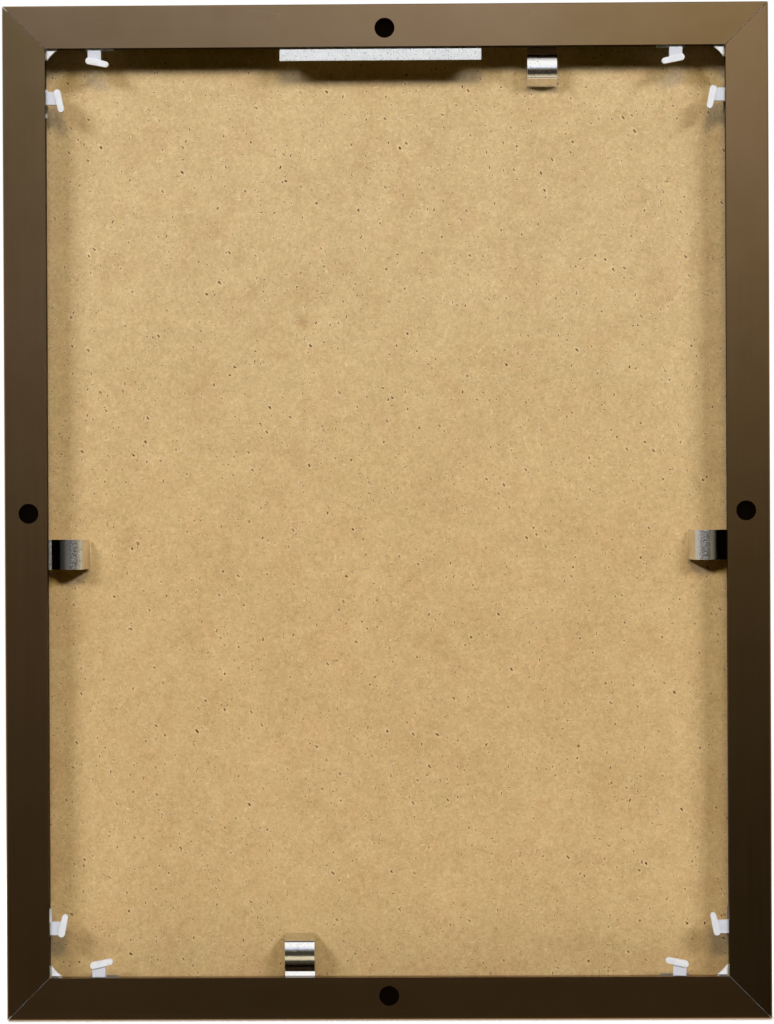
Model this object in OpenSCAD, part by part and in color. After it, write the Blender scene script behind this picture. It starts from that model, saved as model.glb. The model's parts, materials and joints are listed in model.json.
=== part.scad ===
// Sectional metal picture frame for one upright picture, built from its back.
// X runs to the right as seen from the back, Z runs up and the glazed front faces +Y.
// The origin is the middle of the whole frame.
// u is the way in from a rail's outer edge, v is the height over the frame's front face,
// and a plan is drawn in the plane of the picture.

/* [Picture] */
// Width of the picture, its glass and its backing board
picture_w = 300; // [240:10:400]
// Height of the picture, its glass and its backing board
picture_h = 400; // [300:10:600]
// Thickness of the glass
glass_t = 2; // [1.5:0.5:3]
// Thickness of the picture sheet
sheet_t = 0.5; // [0.2:0.1:1]
// Thickness of the backing board
board_t = 3; // [2:0.5:4]
// Free play all round the glass inside the outer walls
picture_play = 1.8; // [0.8:0.1:2.5]

/* [Rail section] */
// Width of a rail's back face
rail_w = 17; // [16.5:0.5:20]
// Width of the front lip that holds the glass
lip_w = 8.5; // [6.5:0.5:12]
// Thickness of the front lip
lip_t = 1.5; // [1.2:0.1:2.5]
// Thickness of the outer wall
side_t = 1.2; // [1:0.1:1.6]
// Thickness of the back wall
back_t = 1; // [0.8:0.1:1.5]
// Thickness of the floor of the hollow behind the picture
floor_t = 1; // [0.8:0.1:1.5]
// Thickness of the kerb and the bead at the inner edge
inner_t = 1; // [0.8:0.1:1.2]
// Gap between backing board and hollow, where the clips press
spring_gap = 3.5; // [3:0.25:5]
// Clear height of the hollow
hollow_h = 4.5; // [4.4:0.1:6]
// Height of the kerb that stands on the floor at the inner edge
kerb_h = 2.5; // [2.3:0.1:2.6]
// Height of the bead under the back wall's inner edge
bead_h = 0.6; // [0.4:0.1:0.7]
// Radius of the outer front edge
front_r = 1; // [0.5:0.1:1.2]
// Radius of the outer back edge
back_r = 0.6; // [0.3:0.1:0.8]
// Radius of the fillets inside the rebate
rebate_r = 0.5; // [0.3:0.1:0.7]
// Open joint left between two mitred ends
mitre_gap = 0.2; // [0.05:0.05:0.3]

/* [Hanging holes] */
// Diameter of the hole halfway along each rail
hole_d = 8; // [6:0.5:9]
// Distance of the holes from the outer edge
hole_in = 9.6; // [8:0.2:10.4]

/* [Corner pieces] */
// Reach of a corner piece's leg from the frame's outer corner
leg_l = 52; // [51:1:70]
// Length of a leg past its lock's channel
leg_end_l = 6.45; // [5:0.05:8]
// Free play of a leg against the side walls of the hollow
leg_play = 0.15; // [0.1:0.05:0.3]
// Free play of a leg above and below
leg_lift = 0.1; // [0.05:0.05:0.2]
// Length of the tapered tip of a leg
leg_tip_l = 3; // [2:0.5:4]
// How far the tip draws in on each side
leg_tip_in = 1.2; // [0.5:0.1:2]
// Side of the small raised plate seen in the frame's inner corner
web_l = 5.8; // [4:0.1:6.5]
// Gap between the raised plate and the rails' inner edges
web_gap = 0.7; // [0.4:0.1:1.2]
// How far the raised plate lies under the frame's back
web_drop = 1; // [0.5:0.1:1.5]
// How far the raised plate's long edge stands past the web under it
web_over = 1.1; // [0.6:0.1:1.3]
// Hollow of the raised plate's long edge
web_sag = 0.5; // [0.2:0.1:0.8]
// Skin and ribs round the lightening pockets
rib_t = 1.2; // [1:0.1:1.6]
// Length of the snap bar that stands in the rail's notch
snap_l = 11.4; // [11.2:0.1:12.2]
// How far the snap bar stands out of the rail
snap_out = 0.6; // [0.3:0.1:1]
// Free play of the snap bar along its notch
snap_play = 0.15; // [0.1:0.05:0.3]
// Thickness of the spring tongue that carries the snap bar
tongue_t = 1.5; // [1.2:0.1:1.6]
// Height of the tongue and the snap bar
tongue_h = 0.95; // [0.8:0.05:1.1]
// How far the snap bar starts before a lock's neck
snap_lead = 1.2; // [0.8:0.1:1.2]
// Room behind the tongue, in which it springs back
flex_room = 1.8; // [1.7:0.1:2.2]

/* [Locks] */
// Way that a lock slides to let its rail go
lock_travel = 5; // [3:0.5:5]
// Width of the neck
neck_w = 5.2; // [4.6:0.1:5.4]
// Thickness of the neck
neck_t = 1.4; // [1:0.1:1.5]
// Length of the slider inside the leg
slider_l = 7.2; // [6.5:0.1:7.4]
// Depth of the slider, across the rail
slider_w = 4.6; // [4:0.1:5]
// Free play of the slider in its channel
slider_play = 0.15; // [0.1:0.05:0.25]
// Radius of the grip at its heel
heel_r = 1.35; // [1:0.05:1.6]
// Radius of the grip at its toe
toe_r = 1.15; // [0.8:0.05:1.4]
// Heel end of the grip, measured back from the middle of the neck
heel_back = 3.5; // [3:0.1:4]
// Toe end of the grip, measured on from the middle of the neck
toe_on = 5.6; // [5:0.1:7]
// Distance of the heel's middle from the rail
heel_off = 4.9; // [4:0.05:6]
// Distance of the toe's middle from the rail
toe_off = 6.35; // [5:0.05:7.5]
// Height of the grip
grip_h = 2.7; // [2:0.1:3]
// How far the neck steps up outside the rail
neck_lift = 2; // [1:0.1:2.2]
// Gap between that step and the rail's inner edge
neck_gap = 0.3; // [0.2:0.1:0.6]
// How far the grip stands over the raised neck
grip_over = 0.3; // [0.1:0.1:0.6]
// Length of the lug that blocks the tongue
lug_l = 4; // [3:0.5:5]

/* [Spring clips] */
// Width of a clip
clip_w = 12; // [8:0.5:16]
// Thickness of its spring steel
clip_t = 0.5; // [0.3:0.05:0.6]
// Room left between the outer wall and the deepest clip
clip_end_gap = 0.2; // [0.1:0.1:1]
// Length of a clip's flat end on the board
clip_flat_l = 4.5; // [3:0.5:6]
// Radius of the crown
crown_r = 11; // [9:0.5:12]
// Slope at which the crown ends, in degrees
crown_dip = 20; // [15:1:25]
// Radius of the bend between crown and nose
nose_r = 1.5; // [1:0.1:2]
// Length of the nose, from the crown to the tip
nose_l = 7; // [6:0.5:8]
// Gap between the tip and the backing board
tip_gap = 0.35; // [0.2:0.05:0.6]
// Gap between a clip and the edge that holds it down
clip_gap = 0.15; // [0.1:0.05:0.3]
// Gap between a clip and the backing board
clip_seat = 0.1; // [0.05:0.05:0.2]
// Part of the top clip that shows
clip_top_out = 15.4; // [15:0.1:18]
// Part of the bottom clip that shows
clip_bottom_out = 16.9; // [15:0.1:18]
// Part of the left clip that shows
clip_left_out = 16.3; // [15:0.1:18]
// Part of the right clip that shows
clip_right_out = 15.4; // [15:0.1:18]
// Place of the top clip, to the right of the middle
clip_top_x = 63; // [54:1:80]
// Place of the bottom clip, to the right of the middle
clip_bottom_x = -35.8; // [-80:0.2:80]
// Place of the left clip, above the middle
clip_left_z = -16.5; // [-100:0.5:100]
// Place of the right clip, above the middle
clip_right_z = -13.7; // [-100:0.1:100]

/* [Hanger bar] */
// Length of the bar
hanger_l = 80.6; // [60:0.2:84]
// Part of its width that shows
hanger_out = 5.5; // [4.5:0.1:7]
// Thickness of its strip
hanger_t = 1; // [0.8:0.1:1]
// Height of the step in the bar
hanger_step = 1.1; // [0.8:0.1:1.3]
// Place of the step's lower bend, past the rail's edge
hanger_bend = 0.5; // [0.5:0.1:1]
// Gap between the bar and each face that guides it
hanger_play = 0.2; // [0.1:0.05:0.2]
// Place of the bar's middle, to the right of the frame's middle
hanger_x = -1.7; // [-10:0.1:10]

/* [Hidden] */
$fn = 48;
overrun = 1;

// Colours, as seen
rail_colour = [0.33, 0.26, 0.19];
nylon_colour = [0.90, 0.90, 0.87];
lock_colour = [0.95, 0.95, 0.93];
steel_colour = [0.78, 0.79, 0.80];
zinc_colour = [0.70, 0.71, 0.70];
board_colour = [0.76, 0.65, 0.46];
paper_colour = [0.96, 0.95, 0.92];
glass_colour = [0.80, 0.90, 0.92, 0.5];

// Sides of the frame, each as the angle that turns the bottom one onto it
bottom_angle = 0;
left_angle = 90;
top_angle = 180;
right_angle = 270;

// Outer size
frame_w = picture_w + 2 * (picture_play + side_t);
frame_h = picture_h + 2 * (picture_play + side_t);

// Heights over the front face
glass_v = lip_t;
sheet_v = glass_v + glass_t;
board_v = sheet_v + sheet_t;
board_back_v = board_v + board_t;
floor_v = board_back_v + spring_gap;
hollow_v = floor_v + floor_t;
kerb_v = hollow_v + kerb_h;
back_v = hollow_v + hollow_h;
bead_v = back_v - bead_h;
depth = back_v + back_t;

// Corner piece: its legs, its channel floor and the web that lies in the slit
leg_v0 = hollow_v + leg_lift;
leg_v1 = back_v - leg_lift;
leg_u0 = side_t + leg_play;
leg_u1 = rail_w - inner_t - leg_play;
leg_corner_r = 2;
channel_v = leg_v0 + tongue_h;
web_v0 = kerb_v + leg_lift;
web_v1 = bead_v - leg_lift;
web_top_v = depth - web_drop;
web_root = 1.5;

// Snap bar, spring tongue and the room behind the tongue
snap_start = -neck_w / 2 - snap_lead;
snap_end = snap_start + snap_l;
notch_start = snap_start - snap_play;
notch_end = snap_end + snap_play;
tongue_u0 = leg_u1 - tongue_t;
flex_u0 = tongue_u0 - flex_room;
tongue_gap = 0.4;

// Lock
slider_u1 = leg_u1 - slider_play;
slider_u0 = slider_u1 - slider_w;
slider_v0 = channel_v + leg_lift;
slider_v1 = leg_v1 - leg_lift;
channel_start = -slider_l / 2 - slider_play;
channel_end = slider_l / 2 + lock_travel + slider_play;
lock_in = leg_l - leg_end_l - channel_end;
neck_v0 = slider_v0 + leg_lift;
neck_v1 = neck_v0 + neck_t;
neck_top_v = neck_v1 + neck_lift;
grip_v1 = neck_top_v + grip_over;
grip_v0 = grip_v1 - grip_h;

// Spring clips, all of one length; a slope is an angle in degrees
clip_l = rail_w - side_t - clip_end_gap + min(clip_top_out, clip_bottom_out, clip_left_out, clip_right_out);
edge_z = spring_gap - clip_gap;
arc_steps = 8;

// Hanger bar
hanger_v0 = kerb_v + hanger_play;
hanger_u0 = rail_w - inner_t - hanger_play - hanger_t;
hanger_u1 = rail_w + hanger_out;
hanger_bend_u = rail_w + hanger_bend;
hanger_hook_v = back_v - hanger_play;

// Lays a plan down between two heights
module slab(v0, v1) {
    translate([0, depth / 2 - v0, 0])
        rotate([90, 0, 0])
            linear_extrude(v1 - v0)
                children();
}

// Runs a section, drawn in u and v, along a rail from x0 to x1
module along(x0, x1) {
    translate([x0, depth / 2, 0])
        rotate([180, -90, 0])
            linear_extrude(x1 - x0)
                children();
}

function is_level(angle) = angle == bottom_angle || angle == top_angle;
function rail_l(angle) = is_level(angle) ? frame_w : frame_h;
function reach(angle) = is_level(angle) ? frame_h / 2 : frame_w / 2;

// Puts what is drawn on the bottom rail on another side of the frame
module on_rail(angle) {
    rotate([0, angle, 0])
        translate([0, 0, -reach(angle)])
            children();
}

// Puts what is drawn in the bottom left corner in another corner
module in_corner(angle) {
    rotate([0, angle, 0])
        translate([-rail_l(angle) / 2, 0, -reach(angle)])
            children();
}

// Draws a leg's parts on both legs of a corner piece
module both_legs() {
    children();
    mirror([1, 0, -1])
        children();
}

// What rounding takes off a square corner at the origin
module corner_loss(r) {
    difference() {
        translate([-overrun, -overrun])
            square(r + overrun);
        translate([r, r])
            circle(r);
    }
}

// Section of a rail: lip, outer wall, and the hollow with its slit to the inside
module rail_section() {
    difference() {
        union() {
            square([side_t, depth]);
            square([lip_w - lip_t / 2, lip_t]);
            translate([lip_w - lip_t / 2, lip_t / 2])
                circle(d = lip_t);
            translate([0, floor_v])
                square([rail_w, floor_t]);
            translate([0, back_v])
                square([rail_w, back_t]);
            translate([rail_w - inner_t, floor_v])
                square([inner_t, floor_t + kerb_h]);
            translate([rail_w - inner_t, bead_v])
                square([inner_t, bead_h + back_t]);
            translate([side_t, lip_t])
                intersection() {
                    corner_loss(rebate_r);
                    square(rebate_r);
                }
            translate([side_t, floor_v])
                mirror([0, 1])
                    intersection() {
                        corner_loss(rebate_r);
                        square(rebate_r);
                    }
        }
        corner_loss(front_r);
        translate([0, depth])
            mirror([0, 1])
                corner_loss(back_r);
    }
}

// Plan of a rail with both ends mitred
module mitre_plan(length) {
    half = length / 2 - mitre_gap * cos(45);
    polygon([[-half, 0], [half, 0], [half - rail_w, rail_w], [rail_w - half, rail_w]]);
}

// Notch in the kerb for the snap bar and the neck of a lock
module lock_notch() {
    slab(hollow_v, kerb_v + overrun / 2)
        translate([notch_start, rail_w - inner_t - overrun / 2])
            square([notch_end - notch_start, inner_t + overrun]);
}

module rail(angle) {
    length = rail_l(angle);
    color(rail_colour)
        on_rail(angle)
            difference() {
                intersection() {
                    along(-length / 2, length / 2)
                        rail_section();
                    slab(-overrun, depth + overrun)
                        mitre_plan(length);
                }
                translate([0, depth / 2 - back_v + overrun, hole_in])
                    rotate([90, 0, 0])
                        cylinder(d = hole_d, h = back_t + 2 * overrun);
                for (end = [0, 1])
                    mirror([end, 0, 0])
                        translate([lock_in - length / 2, 0, 0])
                            lock_notch();
            }
}

// Plan of one leg, square in the corner and tapered at the tip
module leg_plan() {
    polygon([
        [leg_u0, leg_u0],
        [leg_l - leg_tip_l, leg_u0],
        [leg_l, leg_u0 + leg_tip_in],
        [leg_l, leg_u1 - leg_tip_in],
        [leg_l - leg_tip_l, leg_u1],
        [leg_u0, leg_u1]
    ]);
}

// Plan of a web with a side of l in the inner corner and a hollow long edge
module web_plan(l) {
    start = leg_u1 - web_root;
    end = 2 * rail_w + l - start;
    arc_r = pow(l, 2) / (4 * web_sag) + web_sag / 2;
    arc_at = rail_w + l / 2 + (arc_r - web_sag) * cos(45);
    difference() {
        polygon([[start, start], [end, start], [start, end]]);
        translate([arc_at, arc_at])
            circle(arc_r, $fn = 96);
    }
}

// Lightening pockets over the length of a leg, clear of the lock's channel
module leg_pockets() {
    first = leg_u1 + rib_t;
    last = leg_l - leg_tip_l;
    far = slider_u0 - slider_play - rib_t;
    pockets = 3;
    pitch = (last - first + rib_t) / pockets;
    for (i = [0:pockets - 1])
        translate([first + i * pitch, leg_u0 + rib_t])
            square([pitch - rib_t, far - leg_u0 - rib_t]);
}

// Two pockets in the corner block, with a diagonal rib between them
module block_pocket() {
    low = leg_u0 + rib_t;
    high = leg_u1 - web_root - rib_t;
    polygon([
        [low + leg_corner_r + rib_t, low],
        [high, low],
        [high, high - rib_t]
    ]);
}

// Room that the lock needs in a leg, drawn at the middle of its neck
module lock_room() {
    slab(channel_v, leg_v1 + overrun)
        translate([channel_start, slider_u0 - slider_play])
            square([channel_end - channel_start, slider_w + overrun * 2]);
    slab(leg_v0 - overrun, channel_v + overrun)
        translate([snap_start - tongue_gap, flex_u0])
            square([channel_end - snap_start + tongue_gap, flex_room]);
    slab(leg_v0 - overrun, channel_v + overrun)
        translate([snap_start - tongue_gap, flex_u0])
            square([tongue_gap, leg_u1 - flex_u0 + overrun]);
}

module corner_piece(angle) {
    color(nylon_colour)
        in_corner(angle)
            difference() {
                union() {
                    slab(leg_v0, leg_v1)
                        difference() {
                            union() {
                                leg_plan();
                                mirror([1, -1])
                                    leg_plan();
                            }
                            translate([leg_u0, leg_u0])
                                corner_loss(leg_corner_r);
                        }
                    slab(web_v0, web_v1)
                        web_plan(web_l - web_over);
                    slab(web_v0, web_top_v)
                        intersection() {
                            web_plan(web_l);
                            translate([rail_w + web_gap, rail_w + web_gap])
                                square(web_l);
                        }
                    both_legs()
                        slab(leg_v0, channel_v)
                            translate([lock_in + snap_start, tongue_u0])
                                square([snap_l, tongue_t + leg_play + inner_t + snap_out]);
                }
                both_legs() {
                    translate([lock_in, 0, 0])
                        lock_room();
                    slab(leg_v0 + rib_t, leg_v1 + overrun) {
                        leg_pockets();
                        block_pocket();
                    }
                }
            }
}

// Plan of the grip: a round heel, a smaller toe farther out, and their common flanks
module grip_plan() {
    heel = [heel_r - heel_back, rail_w + heel_off];
    toe = [toe_on - toe_r, rail_w + toe_off];
    reach = norm(toe - heel);
    lean = atan2(toe[1] - heel[1], toe[0] - heel[0]);
    flank = acos((heel_r - toe_r) / reach);
    translate(heel)
        circle(heel_r);
    translate(toe)
        circle(toe_r);
    polygon([
        heel + heel_r * [cos(lean + flank), sin(lean + flank)],
        heel + heel_r * [cos(lean - flank), sin(lean - flank)],
        toe + toe_r * [cos(lean - flank), sin(lean - flank)],
        toe + toe_r * [cos(lean + flank), sin(lean + flank)]
    ]);
}

// Sliding lock: slider and lug inside the leg, neck through the notch, raised neck and grip outside
module lock(angle, end) {
    color(lock_colour)
        on_rail(angle)
            mirror([end, 0, 0])
                translate([lock_in - rail_l(angle) / 2, 0, 0]) {
                    slab(slider_v0, slider_v1)
                        translate([-slider_l / 2, slider_u0])
                            square([slider_l, slider_w]);
                    slab(leg_v0 + leg_lift, slider_v0 + leg_lift)
                        translate([-slider_l / 2, flex_u0 + slider_play])
                            square([lug_l, flex_room - 2 * slider_play]);
                    slab(neck_v0, neck_v1)
                        translate([-neck_w / 2, slider_u1 - slider_w / 2])
                            square([neck_w, rail_w + heel_off - slider_u1 + slider_w / 2]);
                    slab(neck_v0, neck_top_v)
                        translate([-neck_w / 2, rail_w + neck_gap])
                            square([neck_w, heel_off - neck_gap]);
                    slab(grip_v0, grip_v1)
                        grip_plan();
                }
}

// One arc of a clip's upper face, as points with their slope
function arc(centre, r, from, to) = [
    for (i = [0:arc_steps])
        let (slope = from + (to - from) * i / arc_steps)
            [centre[0] - r * sin(slope), centre[1] + r * cos(slope), slope]
];

// Upper face of a clip, from its flat end on the board, under the rail's edge, over the crown to the tip.
// The nose is straight, at the slope that leads from its bend to the tip.
function clip_face(out) =
    let (
        hidden = clip_l - out,
        land_z = clip_seat + clip_t,
        rise_l = hidden - clip_flat_l,
        slope = 2 * atan((edge_z - land_z) / rise_l),
        foot_r = rise_l / sin(slope),
        crown_s = out - nose_l,
        crown_z = edge_z + (crown_s - crown_r * sin(slope)) * tan(slope) + crown_r * (1 - cos(slope)),
        crown = [crown_s, crown_z - crown_r],
        bend = crown + (crown_r - nose_r) * [sin(crown_dip), cos(crown_dip)],
        tip_z = tip_gap + clip_t,
        run = out - bend[0],
        fall = bend[1] - tip_z,
        dive = atan(fall / run) + asin(nose_r / norm([run, fall]))
    )
    concat(
        [[-hidden, land_z, 0]],
        arc([-rise_l, land_z + foot_r], -foot_r, 0, slope),
        arc(crown, crown_r, slope, -crown_dip),
        [for (p = arc(bend, nose_r, -crown_dip, -dive)) if (p[2] < -crown_dip) p],
        [[out, tip_z, -dive]]
    );

module clip_section(out) {
    face = clip_face(out);
    last = len(face) - 1;
    upper = [for (p = face) [p[0], p[1]]];
    lower = [for (i = [last:-1:0]) let (p = face[i]) [p[0] + clip_t * sin(p[2]), p[1] - clip_t * cos(p[2])]];
    translate([rail_w, board_back_v])
        polygon(concat(upper, lower));
}

// Spring clip, pushed in under the hollow at a place along its rail
module clip(angle, place, out) {
    color(steel_colour)
        on_rail(angle)
            along(place - clip_w / 2, place + clip_w / 2)
                clip_section(out);
}

// Section of the hanger bar: a hook behind the bead, a strip in the slit, a step and the ledge
module hanger_section() {
    v1 = hanger_v0 + hanger_t;
    bend = hanger_t * tan(45 / 2);
    polygon([
        [hanger_u0, hanger_v0],
        [hanger_bend_u, hanger_v0],
        [hanger_bend_u + hanger_step, hanger_v0 + hanger_step],
        [hanger_u1, hanger_v0 + hanger_step],
        [hanger_u1, v1 + hanger_step],
        [hanger_bend_u + hanger_step - bend, v1 + hanger_step],
        [hanger_bend_u - bend, v1],
        [hanger_u0 + hanger_t, v1],
        [hanger_u0 + hanger_t, hanger_hook_v],
        [hanger_u0, hanger_hook_v]
    ]);
}

module hanger_bar() {
    color(zinc_colour)
        on_rail(top_angle)
            along(-hanger_x - hanger_l / 2, -hanger_x + hanger_l / 2)
                hanger_section();
}

// One sheet of the picture's stack
module sheet(v, t) {
    slab(v, v + t)
        square([picture_w, picture_h], center = true);
}

module backing_board() {
    color(board_colour)
        sheet(board_v, board_t);
}

module picture_sheet() {
    color(paper_colour)
        sheet(sheet_v, sheet_t);
}

module glass() {
    color(glass_colour)
        sheet(glass_v, glass_t);
}

rail(bottom_angle);  // rail_bottom
rail(left_angle);  // rail_left
rail(top_angle);  // rail_top
rail(right_angle);  // rail_right
corner_piece(bottom_angle);  // corner_bottom_left
corner_piece(left_angle);  // corner_top_left
corner_piece(top_angle);  // corner_top_right
corner_piece(right_angle);  // corner_bottom_right
lock(bottom_angle, 0);  // lock_bottom_left
lock(bottom_angle, 1);  // lock_bottom_right
lock(left_angle, 0);  // lock_left_top
lock(left_angle, 1);  // lock_left_bottom
lock(top_angle, 0);  // lock_top_right
lock(top_angle, 1);  // lock_top_left
lock(right_angle, 0);  // lock_right_bottom
lock(right_angle, 1);  // lock_right_top
clip(bottom_angle, clip_bottom_x, clip_bottom_out);  // clip_bottom
clip(left_angle, -clip_left_z, clip_left_out);  // clip_left
clip(top_angle, -clip_top_x, clip_top_out);  // clip_top
clip(right_angle, clip_right_z, clip_right_out);  // clip_right
hanger_bar();
backing_board();
picture_sheet();
glass();
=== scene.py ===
# Looks of a picture frame seen from its back: bronze rails, nylon corner pieces and locks,
# spring clips, hanger bar, hardboard back, picture sheet and glass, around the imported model.
# Places and sizes on the frame are in millimetres from its middle
import json
import math

import bmesh
import bpy
from mathutils import Matrix, Vector


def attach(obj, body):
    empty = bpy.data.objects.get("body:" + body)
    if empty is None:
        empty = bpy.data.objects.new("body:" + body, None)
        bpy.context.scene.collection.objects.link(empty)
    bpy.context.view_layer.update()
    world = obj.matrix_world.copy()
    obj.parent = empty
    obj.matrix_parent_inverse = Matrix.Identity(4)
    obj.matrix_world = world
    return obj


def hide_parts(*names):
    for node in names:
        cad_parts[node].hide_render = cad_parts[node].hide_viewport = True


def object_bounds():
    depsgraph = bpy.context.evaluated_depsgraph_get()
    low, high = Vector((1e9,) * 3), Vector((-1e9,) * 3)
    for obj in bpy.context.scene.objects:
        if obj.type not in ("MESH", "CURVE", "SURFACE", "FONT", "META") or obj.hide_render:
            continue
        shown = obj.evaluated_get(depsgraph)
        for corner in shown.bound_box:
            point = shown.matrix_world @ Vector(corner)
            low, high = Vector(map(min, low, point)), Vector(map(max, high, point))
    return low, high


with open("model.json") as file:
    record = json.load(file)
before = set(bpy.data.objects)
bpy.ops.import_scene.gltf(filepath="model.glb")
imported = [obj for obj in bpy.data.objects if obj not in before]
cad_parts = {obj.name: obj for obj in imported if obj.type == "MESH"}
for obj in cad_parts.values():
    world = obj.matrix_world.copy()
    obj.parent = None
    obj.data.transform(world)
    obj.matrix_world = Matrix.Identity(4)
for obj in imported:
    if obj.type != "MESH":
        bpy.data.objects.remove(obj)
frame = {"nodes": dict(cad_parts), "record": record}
nodes = frame["nodes"]
record = frame["record"]
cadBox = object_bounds()
mm = 0.001
nodeBody = {node: body for body, members in record["behaviour"]["bodies"].items() for node in members}
print("frame loaded:", len(nodes), "nodes")


# Node helpers: a socket is given a link where the value is another socket, and a plain value otherwise
def fill(tree, sockets, values):
    for name, value in values.items():
        if isinstance(value, bpy.types.NodeSocket):
            tree.links.new(value, sockets[name])
        else:
            sockets[name].default_value = value


def addNode(tree, kind, inputs=None, **settings):
    node = tree.nodes.new("ShaderNode" + kind)
    for key, value in settings.items():
        setattr(node, key, value)
    fill(tree, node.inputs, inputs or {})
    return node


def calc(tree, operation, *values):
    return addNode(tree, "Math", dict(enumerate(values)), operation=operation).outputs[0]


def product(tree, first, *others):
    for other in others:
        first = calc(tree, "MULTIPLY", first, other)
    return first


def highest(tree, first, *others):
    for other in others:
        first = calc(tree, "MAXIMUM", first, other)
    return first


def vectorCalc(tree, operation, *values, out="Vector"):
    return addNode(tree, "VectorMath", dict(enumerate(values)), operation=operation).outputs[out]


def scaled(tree, vector, factor):
    return addNode(tree, "VectorMath", {0: vector, "Scale": factor}, operation="SCALE").outputs[0]


def axes(tree, vector):
    return addNode(tree, "SeparateXYZ", {"Vector": vector}).outputs


def ramp(tree, value, fromLow, fromHigh, toLow=0.0, toHigh=1.0):
    spans = {"From Min": fromLow, "From Max": fromHigh, "To Min": toLow, "To Max": toHigh}
    sockets = {"Value": value, **spans}
    return addNode(tree, "MapRange", sockets, interpolation_type="SMOOTHSTEP").outputs[0]


# A value that varies by its spread about a middle
def varied(tree, value, spread, middle):
    return calc(tree, "MULTIPLY_ADD", value, spread, middle - spread / 2)


def mixColour(tree, share, first, second, how="MIX"):
    sockets = {0: share, 6: first, 7: second}
    return addNode(tree, "Mix", sockets, data_type="RGBA", blend_type=how).outputs[2]


def toned(tree, share, colour, factor):
    return mixColour(tree, share, colour, mixColour(tree, 1.0, colour, factor, "MULTIPLY"))


def noise(tree, place, scale, detail=2.0, roughness=0.5, warp=0.0, out="Fac"):
    sockets = {"Vector": place, "Scale": scale, "Detail": detail, "Roughness": roughness}
    sockets["Distortion"] = warp
    return addNode(tree, "TexNoise", sockets).outputs[out]


def millimetres(tree, stretch=(1, 1, 1), turn=(0, 0, 0)):
    coords = addNode(tree, "TexCoord").outputs["Object"]
    scale = [1000 * s for s in stretch]
    angles = [math.radians(a) for a in turn]
    turned = addNode(tree, "Mapping", {"Vector": coords, "Rotation": angles}).outputs[0]
    return addNode(tree, "Mapping", {"Vector": turned, "Scale": scale}).outputs[0]


def bump(tree, height, strength, distance, **normal):
    sockets = {"Height": height, "Strength": strength, "Distance": distance, **normal}
    return addNode(tree, "Bump", sockets).outputs[0]


def newGroup(name, inputs, outputs):
    group = bpy.data.node_groups.new(name, "ShaderNodeTree")
    for socketName, value in inputs.items():
        kind = "NodeSocketVector" if socketName == "Vector" else "NodeSocketFloat"
        socket = group.interface.new_socket(socketName, in_out="INPUT", socket_type=kind)
        if value is not None:
            socket.default_value = value
    for socketName in outputs:
        group.interface.new_socket(socketName, in_out="OUTPUT", socket_type="NodeSocketFloat")
    given = group.nodes.new("NodeGroupInput").outputs
    made = group.nodes.new("NodeGroupOutput").inputs
    return group, given, made


def useGroup(tree, group, **values):
    node = tree.nodes.new("ShaderNodeGroup")
    node.node_tree = group
    fill(tree, node.inputs, values)
    return node.outputs


# Small round marks, one to a cell, each with its own size: strewn through a solid, or in the plane
# of a sheet. The numbers are shares of the radius: the smallest mark, and the solid middle of each
speckShape = {"smallest": 0.2, "solid": 0.4}


def makeSpecks(name, dimensions):
    inputs = {"Vector": None, "Cell": 3.0, "Radius": 0.3}
    group, given, made = newGroup(name, inputs, ["Mask", "Chance"])
    shrink = calc(group, "DIVIDE", 1.0, given["Cell"])
    place = scaled(group, given["Vector"], shrink)
    sockets = {"Vector": place, "Scale": 1.0, "Randomness": 1.0}
    cells = addNode(group, "TexVoronoi", sockets, voronoi_dimensions=dimensions).outputs
    parts = addNode(group, "SeparateColor", {"Color": cells["Color"]}).outputs
    smallest = speckShape["smallest"]
    size = calc(group, "MULTIPLY_ADD", parts[0], 1 - smallest, smallest)
    edge = product(group, given["Radius"], size, shrink)
    inner = calc(group, "MULTIPLY", edge, speckShape["solid"])
    mask = ramp(group, cells["Distance"], edge, inner)
    fill(group, made, {"Mask": mask, "Chance": parts[1]})
    return group


# Thin broken lines, as handling leaves them. How they bend, how often they break, how softly they end
scratchShape = {"bend": (0.7, 1.0), "breaks": (1.6, 2.0), "fade": 0.12}


def makeScratches():
    inputs = {"Vector": None, "Cell": 12.0, "Width": 0.01, "Amount": 0.4}
    group, given, made = newGroup("scratches", inputs, ["Mask"])
    shrink = calc(group, "DIVIDE", 1.0, given["Cell"])
    place = scaled(group, given["Vector"], shrink)
    bends = noise(group, place, *scratchShape["bend"])
    bent = vectorCalc(group, "ADD", place, bends)
    sockets = {"Vector": bent, "Scale": 1.0, "Randomness": 1.0}
    cells = addNode(group, "TexVoronoi", sockets, feature="DISTANCE_TO_EDGE").outputs
    line = ramp(group, cells["Distance"], given["Width"], 0.0)
    broken = noise(group, place, *scratchShape["breaks"])
    start = calc(group, "SUBTRACT", 1.0, given["Amount"])
    end = calc(group, "ADD", start, scratchShape["fade"])
    mask = calc(group, "MULTIPLY", line, ramp(group, broken, start, end))
    fill(group, made, {"Mask": mask})
    return group


# Edges, for wear and a painted edge highlight, from how far the rounded normal leans away from the face
edgeShape = {"samples": 6, "lean": (0.99, 0.80)}


def makeEdges():
    group, given, made = newGroup("edges", {"Radius": 0.0003, "Strength": 1.0}, ["Mask"])
    radius = {"Radius": given["Radius"]}
    rounded = addNode(group, "Bevel", radius, samples=edgeShape["samples"]).outputs[0]
    normal = addNode(group, "NewGeometry").outputs["True Normal"]
    facing = vectorCalc(group, "DOT_PRODUCT", rounded, normal, out="Value")
    mask = calc(group, "MULTIPLY", ramp(group, facing, *edgeShape["lean"]), given["Strength"])
    fill(group, made, {"Mask": mask})
    return group


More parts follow.
